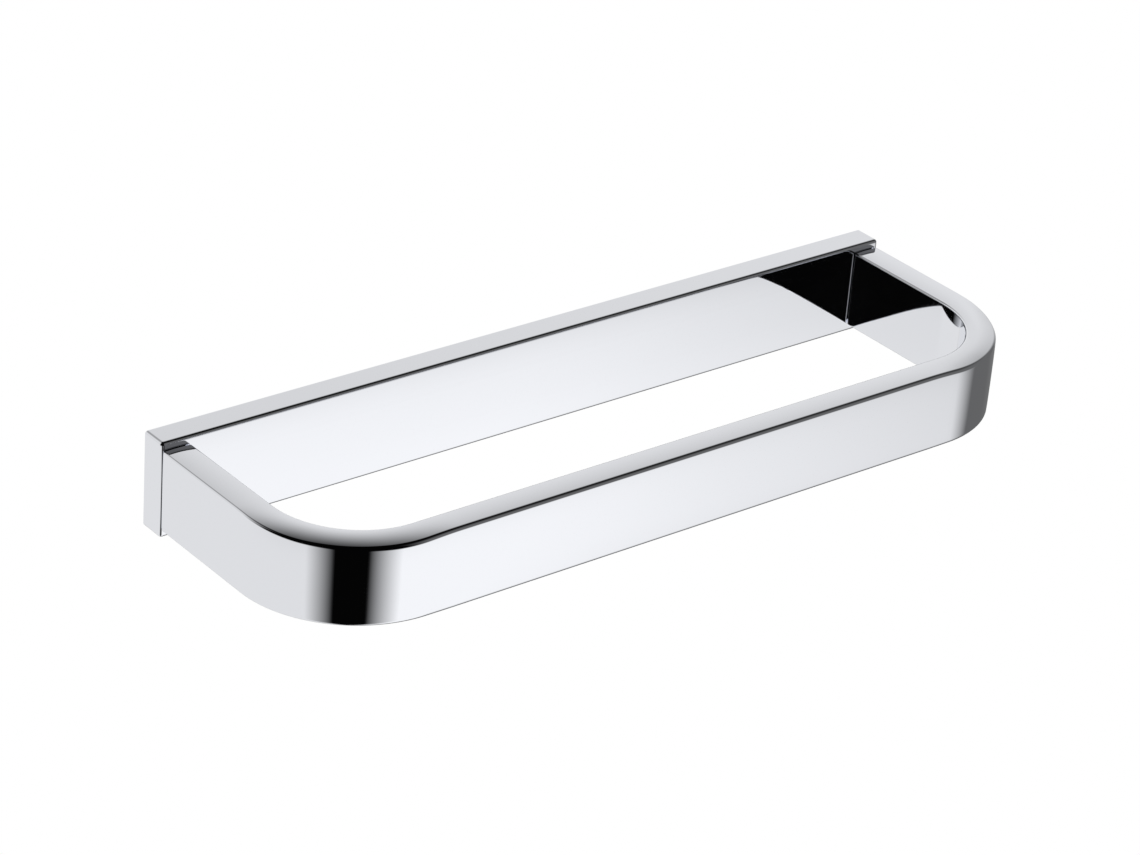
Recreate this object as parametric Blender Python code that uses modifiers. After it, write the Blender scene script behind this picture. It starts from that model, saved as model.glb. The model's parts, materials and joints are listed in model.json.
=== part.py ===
# Towel ring for a bathroom wall: a flat band bent into a U, fixed to a back rail that hides two
# wall brackets. All sizes are in metres.
# X runs along the rail, Y points into the wall and Z is up. The origin is the middle of the rail's
# wall face, so the wall's surface is the plane Y = 0 and the room lies at negative Y.
import math

import bmesh
import bpy
from mathutils import Matrix

# Back rail
RAIL_LENGTH = 0.225
RAIL_DEPTH = 0.0075
RAIL_HEIGHT = 0.0254
RAIL_EDGE_RADIUS = 0.0008
RAIL_BACK_RADIUS = 0.0003
RAIL_FRONT_WALL = 0.0018
RAIL_SIDE_WALL = 0.0045
RAIL_SCREW_WEB = 0.0023
POCKET_CORNER_RADIUS = 0.002

# Ring: a flat band that stands on edge
RING_PROJECTION = 0.072
RING_END_STEP = 0.00015
BAND_THICKNESS = 0.008
BAND_HEIGHT = 0.0214
BAND_CORNER_RADIUS = 0.0305
BAND_EDGE_RADIUS = 0.0009
BAND_END_RADIUS = 0.0005
BAND_CROWN = 0.00012

# Screws that draw the arms of the ring against the rail, with their lock washers
RING_SCREW_DIAMETER = 0.003
RING_SCREW_REACH = 0.007
RING_SCREW_SPACING = 0.010
RING_SCREW_HEAD_DIAMETER = 0.0055
RING_SCREW_HEAD_HEIGHT = 0.002
RING_SCREW_HEX = 0.002
RING_SCREW_HEX_DEPTH = 0.0012
LOCK_WASHER_DIAMETER = 0.0056
LOCK_WASHER_THICKNESS = 0.0007
LOCK_WASHER_SLIT = 0.0006
LOCK_WASHER_LEAD = 0.00015

# Pressed steel brackets on the wall, inside the rail's pockets
BRACKET_LENGTH = 0.036
BRACKET_SHEET = 0.0015
BRACKET_BEND_RADIUS = 0.0012
BRACKET_FROM_ARM = 0.008
BRACKET_CORNER_CUT = 0.0015
SLOT_WIDTH = 0.0046
SLOT_LENGTH = 0.008
SLOT_SPACING = 0.020

# Grub screws in the rail's underside
GRUB_DIAMETER = 0.004
GRUB_LENGTH = 0.004
GRUB_CHAMFER = 0.0005
GRUB_HEX = 0.002
GRUB_HEX_DEPTH = 0.0018
GRUB_MOUTH = 0.00025

# Clearances between pieces, and what a cutter runs past the face that it opens
SEAT_GAP = 0.0003
THREAD_GAP = 0.0003
CUT_OVERRUN = 0.001
MERGE_DISTANCE = 0.00001

# Counts of segments
ROUND_SEGMENTS = 24
EDGE_SEGMENTS = 4
CROWN_SEGMENTS = 4
BEND_SEGMENTS = 24

# Places that follow from the sizes above
RING_HALF_WIDTH = RAIL_LENGTH / 2 - RING_END_STEP
ARM_X = RING_HALF_WIDTH - BAND_THICKNESS / 2
ARM_REAR_Y = -RAIL_DEPTH - SEAT_GAP
POCKET_DEPTH = RAIL_DEPTH - RAIL_FRONT_WALL
POCKET_LENGTH = BRACKET_LENGTH + 2 * POCKET_CORNER_RADIUS
POCKET_HEIGHT = RAIL_HEIGHT - 2 * RAIL_SIDE_WALL
BRACKET_DEPTH = POCKET_DEPTH - SEAT_GAP
BRACKET_HEIGHT = POCKET_HEIGHT - 2 * SEAT_GAP
BRACKET_X = RING_HALF_WIDTH - BAND_THICKNESS - BRACKET_FROM_ARM - POCKET_LENGTH / 2
BEND_OUTER_RADIUS = BRACKET_BEND_RADIUS + BRACKET_SHEET
GRUB_Y = -(BEND_OUTER_RADIUS + BRACKET_DEPTH) / 2
SIDES = (("left", -1), ("right", 1))

for old_object in list(bpy.data.objects):
    bpy.data.objects.remove(old_object)

parts = bpy.data.collections.new("towel_ring_assembly")
cutters = bpy.data.collections.new("cutters")
bpy.context.scene.collection.children.link(parts)
bpy.context.scene.collection.children.link(cutters)


def principled(name, color, metallic, roughness):
    """A Principled material of one colour."""
    material = bpy.data.materials.new(name)
    material.use_nodes = True
    shader = material.node_tree.nodes["Principled BSDF"]
    shader.inputs["Base Color"].default_value = (*color, 1.0)
    shader.inputs["Metallic"].default_value = metallic
    shader.inputs["Roughness"].default_value = roughness
    return material


CHROME = principled("chrome_plate", (0.86, 0.87, 0.89), 1.0, 0.05)
ZINC = principled("zinc_plated_steel", (0.62, 0.64, 0.66), 1.0, 0.32)
STAINLESS = principled("stainless_steel", (0.60, 0.60, 0.59), 1.0, 0.25)


def make_mesh(name, bm):
    """Store a bmesh as a mesh, with its faces pointing outwards."""
    bmesh.ops.recalc_face_normals(bm, faces=bm.faces)
    mesh = bpy.data.meshes.new(name)
    bm.to_mesh(mesh)
    bm.free()
    return mesh


def place(name, mesh, material, parent, location=(0, 0, 0), rotation=(0, 0, 0)):
    """Add a part of the object under its parent empty."""
    part = bpy.data.objects.new(name, mesh)
    mesh.materials.clear()
    mesh.materials.append(material)
    mesh.shade_smooth()
    mesh.set_sharp_from_angle(angle=math.radians(35))
    part.parent = parent
    part.location = location
    part.rotation_euler = rotation
    parts.objects.link(part)
    return part


def make_cutter(name, mesh, location=(0, 0, 0), rotation=(0, 0, 0)):
    """Add a solid that only cuts others."""
    cutter = bpy.data.objects.new(name, mesh)
    cutter.location = location
    cutter.rotation_euler = rotation
    cutter.hide_render = True
    cutter.display_type = "WIRE"
    cutters.objects.link(cutter)
    return cutter


def cut(part, cutter):
    """Take the cutter's shape out of a part."""
    boolean = part.modifiers.new("cut_" + cutter.name, "BOOLEAN")
    boolean.operation = "DIFFERENCE"
    boolean.solver = "EXACT"
    boolean.object = cutter


def baked_mesh(part, used_cutters=()):
    """Apply the modifiers of a helper object, so that copies can share the mesh."""
    bpy.context.view_layer.update()
    evaluated = part.evaluated_get(bpy.context.evaluated_depsgraph_get())
    mesh = bpy.data.meshes.new_from_object(evaluated)
    mesh.name = part.name
    for helper in (part, *used_cutters):
        bpy.data.objects.remove(helper)
    return mesh


def rod_mesh(name, radius, length, segments=ROUND_SEGMENTS):
    """A round bar on Z, or a hexagonal one with six segments, whose top face is at the origin."""
    bm = bmesh.new()
    bmesh.ops.create_cone(bm, cap_ends=True, segments=segments, radius1=radius, radius2=radius,
                          depth=length)
    bmesh.ops.translate(bm, vec=(0, 0, -length / 2), verts=bm.verts)
    return make_mesh(name, bm)


def turned_mesh(name, profile, cuts):
    """Turn a profile of (radius, height) points about Z, then cut it.

    The profile runs down from the axis at the top to the axis at the bottom. Each cut is a name, a
    mesh and a location.
    """
    bm = bmesh.new()
    corners = [bm.verts.new((radius, 0, height)) for radius, height in profile]
    for first, second in zip(corners, corners[1:]):
        bm.edges.new((first, second))
    mesh = bpy.data.meshes.new(name)
    bm.to_mesh(mesh)
    bm.free()
    blank = bpy.data.objects.new(name, mesh)
    parts.objects.link(blank)
    turn = blank.modifiers.new("turn", "SCREW")
    turn.axis = "Z"
    turn.steps = ROUND_SEGMENTS
    turn.render_steps = ROUND_SEGMENTS
    turn.use_merge_vertices = True
    turn.merge_threshold = MERGE_DISTANCE
    used = [make_cutter(*one_cut) for one_cut in cuts]
    for cutter in used:
        cut(blank, cutter)
    return baked_mesh(blank, used)


def arc(centre, radius, start, end, steps):
    """Points of an arc in a plane, from one angle to another in degrees, ends included."""
    points = []
    for step in range(steps + 1):
        angle = math.radians(start + (end - start) * step / steps)
        points.append((centre[0] + radius * math.cos(angle), centre[1] + radius * math.sin(angle)))
    return points


def build_back_rail(holder):
    """The rail: a bar with two pockets for the brackets and seats for the screws."""
    bm = bmesh.new()
    bmesh.ops.create_cube(bm, size=1)
    bmesh.ops.scale(bm, vec=(RAIL_LENGTH, RAIL_DEPTH, RAIL_HEIGHT), verts=bm.verts)
    outer_edges = [edge for edge in bm.edges if min(vert.co.y for vert in edge.verts) < 0]
    bmesh.ops.bevel(bm, geom=outer_edges, offset=RAIL_EDGE_RADIUS, offset_type="OFFSET",
                    segments=EDGE_SEGMENTS, profile=0.5, affect="EDGES", material=-1)
    back_edges = [edge for edge in bm.edges
                  if min(vert.co.y for vert in edge.verts) > RAIL_DEPTH / 2 - MERGE_DISTANCE]
    bmesh.ops.bevel(bm, geom=back_edges, offset=RAIL_BACK_RADIUS, offset_type="OFFSET",
                    segments=EDGE_SEGMENTS - 2, profile=0.5, affect="EDGES", material=-1)
    rail = place("back_rail", make_mesh("back_rail", bm), CHROME, holder, (0, -RAIL_DEPTH / 2, 0))

    pocket = bmesh.new()
    bmesh.ops.create_cube(pocket, size=1)
    bmesh.ops.scale(pocket, vec=(POCKET_LENGTH, POCKET_DEPTH + CUT_OVERRUN, POCKET_HEIGHT),
                    verts=pocket.verts)
    milled = [edge for edge in pocket.edges
              if abs(edge.verts[0].co.y - edge.verts[1].co.y) > POCKET_DEPTH / 2]
    bmesh.ops.bevel(pocket, geom=milled, offset=POCKET_CORNER_RADIUS, offset_type="OFFSET",
                    segments=EDGE_SEGMENTS, profile=0.5, affect="EDGES", material=-1)
    pocket_mesh = make_mesh("bracket_pocket", pocket)

    head_radius = max(RING_SCREW_HEAD_DIAMETER, LOCK_WASHER_DIAMETER) / 2 + SEAT_GAP
    head_seat = rod_mesh("head_seat", head_radius, RAIL_DEPTH - RAIL_SCREW_WEB + CUT_OVERRUN)
    screw_hole = rod_mesh("screw_hole", RING_SCREW_DIAMETER / 2 + THREAD_GAP,
                          RAIL_DEPTH + 2 * CUT_OVERRUN)
    hole_radius = GRUB_DIAMETER / 2 + THREAD_GAP
    grub_hole = turned_mesh("grub_hole", [
        (0, CUT_OVERRUN),
        (hole_radius + GRUB_MOUTH, CUT_OVERRUN),
        (hole_radius + GRUB_MOUTH, 0),
        (hole_radius, -GRUB_MOUTH),
        (hole_radius, -RAIL_HEIGHT / 2),
        (0, -RAIL_HEIGHT / 2),
    ], cuts=[])
    wallward = (-math.pi / 2, 0, 0)
    for side, sign in SIDES:
        cut(rail, make_cutter("pocket_" + side, pocket_mesh,
                              (sign * BRACKET_X, (CUT_OVERRUN - POCKET_DEPTH) / 2, 0)))
        cut(rail, make_cutter("grub_hole_" + side, grub_hole,
                              (sign * BRACKET_X, GRUB_Y, -RAIL_HEIGHT / 2), (math.pi, 0, 0)))
        for level, up in (("upper", 1), ("lower", -1)):
            height = up * RING_SCREW_SPACING / 2
            spot = (sign * ARM_X, CUT_OVERRUN, height)
            cut(rail, make_cutter(f"head_seat_{side}_{level}", head_seat, spot, wallward))
            cut(rail, make_cutter(f"screw_hole_{side}_{level}", screw_hole, spot, wallward))
    return rail


def band_section():
    """Outline of the band across its thickness: rounded edges, crowned top and bottom."""
    half_flat = BAND_THICKNESS / 2 - BAND_EDGE_RADIUS
    arc_level = BAND_HEIGHT / 2 - BAND_CROWN - BAND_EDGE_RADIUS
    outline = arc((half_flat, arc_level), BAND_EDGE_RADIUS, 0, 90, EDGE_SEGMENTS)
    for step in range(1, CROWN_SEGMENTS):
        across = half_flat * (1 - 2 * step / CROWN_SEGMENTS)
        rise = BAND_CROWN * (1 - (across / half_flat) ** 2)
        outline.append((across, BAND_HEIGHT / 2 - BAND_CROWN + rise))
    outline += arc((-half_flat, arc_level), BAND_EDGE_RADIUS, 90, 180, EDGE_SEGMENTS)
    return outline + [(-across, -height) for across, height in outline]


def build_towel_ring(holder):
    """The ring: half of the band is swept from an arm's end to the middle, then mirrored."""
    bend_x = RING_HALF_WIDTH - BAND_CORNER_RADIUS
    bend_y = BAND_CORNER_RADIUS - RING_PROJECTION
    bm = bmesh.new()
    rim = [bm.verts.new((ARM_X + across, ARM_REAR_Y, height)) for across, height in band_section()]
    arm_end = bm.faces.new(rim)
    arm = bmesh.ops.extrude_edge_only(bm, edges=list(arm_end.edges))["geom"]
    bmesh.ops.translate(bm, vec=(0, bend_y - ARM_REAR_Y, 0),
                        verts=[item for item in arm if isinstance(item, bmesh.types.BMVert)])
    reached = {edge for edge in bm.edges if all(vert.co.y < ARM_REAR_Y for vert in edge.verts)}
    bend = bmesh.ops.spin(bm, geom=list(reached), cent=(bend_x, bend_y, 0), axis=(0, 0, 1),
                          dvec=(0, 0, 0), angle=-math.pi / 2, steps=BEND_SEGMENTS,
                          use_merge=False, use_normal_flip=False, use_duplicate=False)
    bend_end = [item for item in bend["geom_last"] if isinstance(item, bmesh.types.BMEdge)]
    front = bmesh.ops.extrude_edge_only(bm, edges=bend_end)["geom"]
    bmesh.ops.translate(bm, vec=(-bend_x, 0, 0),
                        verts=[item for item in front if isinstance(item, bmesh.types.BMVert)])
    bmesh.ops.bevel(bm, geom=list(arm_end.edges), offset=BAND_END_RADIUS, offset_type="OFFSET",
                    segments=EDGE_SEGMENTS, profile=0.5, affect="EDGES", material=-1)
    ring = place("towel_ring", make_mesh("towel_ring", bm), CHROME, holder)
    mirror = ring.modifiers.new("other_half", "MIRROR")
    mirror.merge_threshold = MERGE_DISTANCE
    tapped = rod_mesh("tapped_hole", RING_SCREW_DIAMETER / 2 + THREAD_GAP,
                      RING_SCREW_REACH + SEAT_GAP + 2 * CUT_OVERRUN)
    for side, sign in SIDES:
        for level, up in (("upper", 1), ("lower", -1)):
            spot = (sign * ARM_X, ARM_REAR_Y + CUT_OVERRUN, up * RING_SCREW_SPACING / 2)
            cut(ring, make_cutter(f"tapped_hole_{side}_{level}", tapped, spot, (-math.pi / 2, 0, 0)))
    return ring


def build_ring_screws(holder):
    """Low-head socket screws and split lock washers, two of each behind either arm."""
    web_y = RAIL_SCREW_WEB - RAIL_DEPTH
    washer_y = web_y + SEAT_GAP
    head_y = washer_y + LOCK_WASHER_THICKNESS + LOCK_WASHER_LEAD + SEAT_GAP
    head_radius = RING_SCREW_HEAD_DIAMETER / 2
    shank_radius = RING_SCREW_DIAMETER / 2
    shank_length = head_y - ARM_REAR_Y + RING_SCREW_REACH
    chamfer = RING_SCREW_HEAD_HEIGHT / 8
    socket = rod_mesh("socket", RING_SCREW_HEX / math.sqrt(3), RING_SCREW_HEX_DEPTH + CUT_OVERRUN, 6)
    screw_mesh = turned_mesh("ring_screw", [
        (0, RING_SCREW_HEAD_HEIGHT),
        (head_radius - chamfer, RING_SCREW_HEAD_HEIGHT),
        (head_radius, RING_SCREW_HEAD_HEIGHT - chamfer),
        (head_radius, 0),
        (shank_radius, 0),
        (shank_radius, chamfer - shank_length),
        (shank_radius - chamfer, -shank_length),
        (0, -shank_length),
    ], cuts=[("socket", socket, (0, 0, RING_SCREW_HEAD_HEIGHT + CUT_OVERRUN))])

    inner = shank_radius + SEAT_GAP
    outer = LOCK_WASHER_DIAMETER / 2
    opening = LOCK_WASHER_SLIT / outer
    bm = bmesh.new()
    corners = [(inner, 0), (outer, 0), (outer, LOCK_WASHER_THICKNESS), (inner, LOCK_WASHER_THICKNESS)]
    first = [bm.verts.new((radius, 0, height)) for radius, height in corners]
    start = bm.faces.new(first)
    turns = bmesh.ops.spin(bm, geom=list(start.edges), cent=(0, 0, 0), axis=(0, 0, 1),
                           dvec=(0, 0, LOCK_WASHER_LEAD / ROUND_SEGMENTS),
                           angle=2 * math.pi - opening, steps=ROUND_SEGMENTS,
                           use_merge=False, use_normal_flip=False, use_duplicate=False)
    end_edges = [item for item in turns["geom_last"] if isinstance(item, bmesh.types.BMEdge)]
    bmesh.ops.edgeloop_fill(bm, edges=end_edges)
    washer_mesh = make_mesh("lock_washer", bm)

    for side, sign in SIDES:
        for level, up in (("upper", 1), ("lower", -1)):
            x, z = sign * ARM_X, up * RING_SCREW_SPACING / 2
            place(f"ring_screw_{side}_{level}", screw_mesh, STAINLESS, holder, (x, head_y, z),
                  (-math.pi / 2, 0, 0))
            place(f"lock_washer_{side}_{level}", washer_mesh, STAINLESS, holder, (x, washer_y, z),
                  (-math.pi / 2, 0, 0))


def slot_mesh(name, width, length, depth):
    """A cutter for a slot along X, through a plate that lies in X and Z."""
    bm = bmesh.new()
    half_step = Matrix.Rotation(math.pi / ROUND_SEGMENTS, 4, "Z")
    bmesh.ops.create_cone(bm, cap_ends=True, segments=ROUND_SEGMENTS, radius1=width / 2,
                          radius2=width / 2, depth=depth, matrix=half_step)
    for vert in bm.verts:
        vert.co.x += math.copysign((length - width) / 2, vert.co.x)
    bmesh.ops.rotate(bm, matrix=Matrix.Rotation(math.pi / 2, 4, "X"), verts=bm.verts)
    return make_mesh(name, bm)


def build_wall_brackets(wall):
    """Channels pressed from sheet: a slotted plate on the wall and two flanges into the pocket."""
    top = BRACKET_HEIGHT / 2
    bend = top - BEND_OUTER_RADIUS
    upper = [(-BRACKET_DEPTH, top)]
    upper += [(y, z) for y, z in reversed(arc((-BEND_OUTER_RADIUS, bend), BEND_OUTER_RADIUS,
                                              0, 90, EDGE_SEGMENTS + 1))]
    outline = upper + [(y, -z) for y, z in reversed(upper)]
    bm = bmesh.new()
    line = [bm.verts.new((-BRACKET_LENGTH / 2, y, z)) for y, z in outline]
    edges = [bm.edges.new(pair) for pair in zip(line, line[1:])]
    sheet = bmesh.ops.extrude_edge_only(bm, edges=edges)["geom"]
    bmesh.ops.translate(bm, vec=(BRACKET_LENGTH, 0, 0),
                        verts=[item for item in sheet if isinstance(item, bmesh.types.BMVert)])
    corners = [vert for vert in bm.verts if len(vert.link_edges) == 2]
    bmesh.ops.bevel(bm, geom=corners, offset=BRACKET_CORNER_CUT, offset_type="OFFSET", segments=1,
                    profile=0.5, affect="VERTICES", material=-1)
    blank = bpy.data.objects.new("wall_bracket", make_mesh("wall_bracket", bm))
    parts.objects.link(blank)
    plate = blank.modifiers.new("sheet", "SOLIDIFY")
    plate.thickness = BRACKET_SHEET
    plate.offset = -1
    plate.use_even_offset = True
    slot = slot_mesh("slot", SLOT_WIDTH, SLOT_LENGTH, BRACKET_SHEET + 2 * CUT_OVERRUN)
    slots = [make_cutter(f"slot_{side}", slot, (sign * SLOT_SPACING / 2, -BRACKET_SHEET / 2, 0))
             for side, sign in SIDES]
    for slot_cutter in slots:
        cut(blank, slot_cutter)
    bracket_mesh = baked_mesh(blank, slots)
    for side, sign in SIDES:
        place("wall_bracket_" + side, bracket_mesh, ZINC, wall, (sign * BRACKET_X, 0, 0))


def build_grub_screws(holder):
    """Socket grub screws that press the brackets' lower flanges from the rail's underside."""
    radius = GRUB_DIAMETER / 2
    socket = rod_mesh("grub_socket", GRUB_HEX / math.sqrt(3), GRUB_HEX_DEPTH + CUT_OVERRUN, 6)
    mesh = turned_mesh("grub_screw", [
        (0, GRUB_LENGTH),
        (radius - GRUB_CHAMFER, GRUB_LENGTH),
        (radius, GRUB_LENGTH - GRUB_CHAMFER),
        (radius, GRUB_CHAMFER),
        (radius - GRUB_CHAMFER, 0),
        (0, 0),
    ], cuts=[("grub_socket", socket, (0, 0, GRUB_LENGTH + CUT_OVERRUN))])
    tip_z = -BRACKET_HEIGHT / 2 - SEAT_GAP
    for side, sign in SIDES:
        axis = bpy.data.objects.new(f"grub_{side}_slide", None)
        axis.parent = holder
        axis.location = (sign * BRACKET_X, GRUB_Y, tip_z)
        parts.objects.link(axis)
        place("grub_screw_" + side, mesh, STAINLESS, axis, rotation=(math.pi, 0, 0))


wall_empty = bpy.data.objects.new("wall_side", None)
holder_empty = bpy.data.objects.new("lift_off_slide", None)
parts.objects.link(wall_empty)
parts.objects.link(holder_empty)

build_back_rail(holder_empty)
build_towel_ring(holder_empty)
build_ring_screws(holder_empty)
build_grub_screws(holder_empty)
build_wall_brackets(wall_empty)
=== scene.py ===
# %% [markdown]
# # A towel ring in polished chrome
#
# The real object is a flat brass bar, bent into a U with two round corners, polished, plated and
# screwed to the front of a straight rail. The rail lies on the bathroom wall and hides two pressed
# steel brackets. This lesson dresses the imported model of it. Each step first says what the piece or
# finish is on the real object, how it could be made, and why it is made this way.
#
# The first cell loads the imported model. It gives the places and the sizes of the pieces, and the
# bodies that they ride on. Nothing here moves or resizes a piece of it.

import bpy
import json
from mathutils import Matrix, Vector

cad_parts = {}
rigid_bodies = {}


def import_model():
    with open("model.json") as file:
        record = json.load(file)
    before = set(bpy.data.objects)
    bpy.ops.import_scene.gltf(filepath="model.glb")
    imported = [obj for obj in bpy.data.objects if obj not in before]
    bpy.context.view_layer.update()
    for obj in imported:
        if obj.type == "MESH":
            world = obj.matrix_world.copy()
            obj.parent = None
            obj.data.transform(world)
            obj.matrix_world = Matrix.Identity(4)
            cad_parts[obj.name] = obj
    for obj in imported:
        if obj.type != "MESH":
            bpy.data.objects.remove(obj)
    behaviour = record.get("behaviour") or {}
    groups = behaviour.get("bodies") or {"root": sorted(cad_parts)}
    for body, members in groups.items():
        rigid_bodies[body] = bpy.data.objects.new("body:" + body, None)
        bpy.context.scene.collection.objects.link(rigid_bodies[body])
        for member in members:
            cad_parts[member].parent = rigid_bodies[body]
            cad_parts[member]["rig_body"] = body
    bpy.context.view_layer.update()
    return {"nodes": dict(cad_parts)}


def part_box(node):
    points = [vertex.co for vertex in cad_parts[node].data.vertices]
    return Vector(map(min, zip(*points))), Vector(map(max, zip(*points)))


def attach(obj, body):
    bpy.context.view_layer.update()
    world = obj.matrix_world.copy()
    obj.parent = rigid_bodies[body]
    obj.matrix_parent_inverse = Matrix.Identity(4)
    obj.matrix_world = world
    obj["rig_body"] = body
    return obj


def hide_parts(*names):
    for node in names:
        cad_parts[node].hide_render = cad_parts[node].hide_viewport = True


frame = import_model()

# %% [markdown]
# ## Sizes
#
# All lengths are in metres, as in the model, so MM turns a size in millimetres into one of them. The
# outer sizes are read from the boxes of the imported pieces. Radii and walls can't be read from a
# box, so they are named here. They are estimates from the photograph and from common bar stock.

# %% Sizes of the rail and the ring
import json
import math

import bmesh
import bpy
from mathutils import Matrix, Vector

MM = 0.001

RAIL_LOW, RAIL_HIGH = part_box("back_rail")
RING_LOW, RING_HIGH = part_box("towel_ring")
SIDES = ("left", "right")
LEVELS = ("upper", "lower")

RAIL_EDGE_RADIUS = 0.8 * MM
RAIL_BACK_EDGE = 0.3 * MM
BAND_THICKNESS = 8 * MM
BAND_CORNER_RADIUS = 30.5 * MM
BAND_EDGE_RADIUS = 0.45 * MM
BAND_FRONT_RADIUS = 0.85 * MM
BAND_END_RADIUS = 0.15 * MM
BAND_CROWN = 0.12 * MM
ARM_X = RING_HIGH.x - BAND_THICKNESS / 2
print("rail in mm:", [round(size / MM, 2) for size in RAIL_HIGH - RAIL_LOW],
      "ring in mm:", [round(size / MM, 2) for size in RING_HIGH - RING_LOW])

# %% [markdown]
# A polishing wheel never leaves a face quite flat: it takes a little more away towards the edges.
# On a mirror finish this roll-off shows at once, because it bends the edges of every reflection.
# The next values say how far the upright faces of rail and ring fall back at their edges, and how
# fast: a high power keeps the middle flat.

# %% Sizes of the polishing roll-off and of the meshes
RAIL_ROLL_OFF = 0.10 * MM
RING_ROLL_OFF = 0.10 * MM
ROLL_OFF_POWER = 3
FACE_LINES = 15
ROUND_STEPS = 8
FINE_ROUND_STEPS = 4
BEND_STEPS = 72
TURNED_STEPS = 48
SMALL_STEPS = 24
HOLE_STEPS = 32
SHARP_ANGLE = 38
MERGE_DISTANCE = 0.002 * MM
SUPPORT = 0.12 * MM
print("faces fall back by mm:", RAIL_ROLL_OFF / MM, RING_ROLL_OFF / MM)

# %% [markdown]
# ## From a bmesh to a finished piece
#
# Every piece ends the same way: doubles are merged, faces are turned outwards, and it is shaded
# smooth, with sharp corners kept sharp. The piece then rides on its body and stands for its solid.
# On the mirror pieces a narrow strip of faces runs beside every small radius, so that smooth
# shading bends the reflection only there and leaves the large faces true.

# %% Helpers that finish a piece
def mesh_from(name, bm):
    """Close a bmesh into a mesh whose faces point outwards."""
    bmesh.ops.remove_doubles(bm, verts=bm.verts, dist=MERGE_DISTANCE)
    bmesh.ops.recalc_face_normals(bm, faces=bm.faces)
    mesh = bpy.data.meshes.new(name)
    bm.to_mesh(mesh)
    bm.free()
    return mesh


def placed(name, data):
    """A new object in the scene with a mesh or a camera."""
    thing = bpy.data.objects.new(name, data)
    bpy.context.scene.collection.objects.link(thing)
    return thing


def finish_piece(name, mesh, materials, node):
    """Shade a mesh, let it ride on the body of the solid that it stands for, and hide that solid."""
    piece = placed(name, mesh)
    mesh.materials.clear()
    for material in materials:
        mesh.materials.append(material)
    mesh.shade_smooth()
    mesh.set_sharp_from_angle(angle=math.radians(SHARP_ANGLE))
    body = frame["nodes"][node]["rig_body"]
    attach(piece, body)
    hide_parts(node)
    print(name, "rides on", body, "with", len(mesh.polygons), "faces")
    return piece


def only(items, kind):
    """The elements of one kind in the result of a bmesh operator."""
    return [item for item in items if isinstance(item, kind)]


# %% [markdown]
# A piece starts as a block or as a flat section on edge. Its edges or corners are rounded, and a
# section is extruded or spun into a bar, a bend, a turned form or a thread.

# %% Helpers that start a piece
def add_block(bm, middle, size):
    """Add a block round its middle."""
    bmesh.ops.create_cube(bm, size=1, matrix=Matrix.Translation(middle))
    bmesh.ops.scale(bm, vec=size, verts=bm.verts, space=Matrix.Translation(-middle))


def add_section(bm, middle, width, height):
    """Add one upright face along X round its middle."""
    place = Matrix.Translation(middle) @ Matrix.Rotation(math.pi / 2, 4, "X")
    bmesh.ops.create_grid(bm, x_segments=1, y_segments=1, size=1, matrix=place)
    bmesh.ops.scale(bm, vec=(width / 2, 1, height / 2), verts=bm.verts,
                    space=Matrix.Translation(-middle))


def rounded(bm, corners, radius, steps, affect="EDGES"):
    """Round edges or vertices with a radius."""
    bmesh.ops.bevel(bm, geom=corners, offset=radius, offset_type="OFFSET", segments=steps,
                    profile=0.5, affect=affect, material=-1)


def spun(bm, profile, angle, steps, centre=(0, 0, 0), climb=0, closed=False):
    """Spin a profile about an upright axis, with a climb in each step, if any."""
    return bmesh.ops.spin(bm, geom=profile, cent=centre, axis=(0, 0, 1), dvec=(0, 0, climb),
                          angle=angle, steps=steps, use_merge=closed, use_normal_flip=False,
                          use_duplicate=False)


# %% [markdown]
# ## Drilling, milling and joining
#
# A drilled or milled hole is a Boolean on the real part's scale: a cutter is placed, subtracted and
# thrown away. The faces that it leaves take the second material, because a hole isn't polished as
# the outside is. The result is applied to the mesh at once, so that the piece stays a plain mesh.

# %% Helpers for tools
def moved(mesh, location, rotation=None):
    """A copy of a mesh, turned and then moved to its place."""
    copy = mesh.copy()
    copy.transform(rotation or Matrix())
    copy.transform(Matrix.Translation(location))
    return copy


def applied(thing):
    """The mesh of an object with its modifiers applied."""
    bpy.context.view_layer.update()
    evaluated = thing.evaluated_get(bpy.context.evaluated_depsgraph_get())
    return bpy.data.meshes.new_from_object(evaluated)


def worked(mesh, tools, operation="DIFFERENCE"):
    """Subtract tool meshes from a mesh, or join or intersect them, and return the new mesh."""
    surfaces = [bpy.data.materials.new("outside"), bpy.data.materials.new("inside")]
    block = placed("block", mesh)
    helpers = [block] + [placed("tool", tool) for tool in tools]
    for helper in helpers:
        helper.data.materials.clear()
        for surface in surfaces:
            helper.data.materials.append(surface)
    for helper in helpers[1:]:
        for polygon in helper.data.polygons:
            polygon.material_index = 1
        boolean = block.modifiers.new("work", "BOOLEAN")
        boolean.operation = operation
        boolean.solver = "EXACT"
        boolean.object = helper
    result = applied(block)
    result.name = mesh.name
    for helper in helpers:
        bpy.data.objects.remove(helper)
    result.materials.clear()
    for surface in surfaces:
        bpy.data.materials.remove(surface)
    return result


def round_bar(radius, length, segments=64):
    """A bar on Z, from the origin down."""
    bm = bmesh.new()
    bmesh.ops.create_cone(bm, cap_ends=True, segments=segments, radius1=radius, radius2=radius,
                          depth=length)
    bmesh.ops.translate(bm, vec=(0, 0, -length / 2), verts=bm.verts)
    return mesh_from("bar", bm)


def turned(name, profile, steps=TURNED_STEPS):
    """A solid turned about Z from a profile of (radius, height) points, from axis to axis."""
    bm = bmesh.new()
    points = [bm.verts.new((radius, 0, height)) for radius, height in profile]
    line = [bm.edges.new(pair) for pair in zip(points, points[1:])]
    spun(bm, line, 2 * math.pi, steps, closed=True)
    return mesh_from(name, bm)


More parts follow.
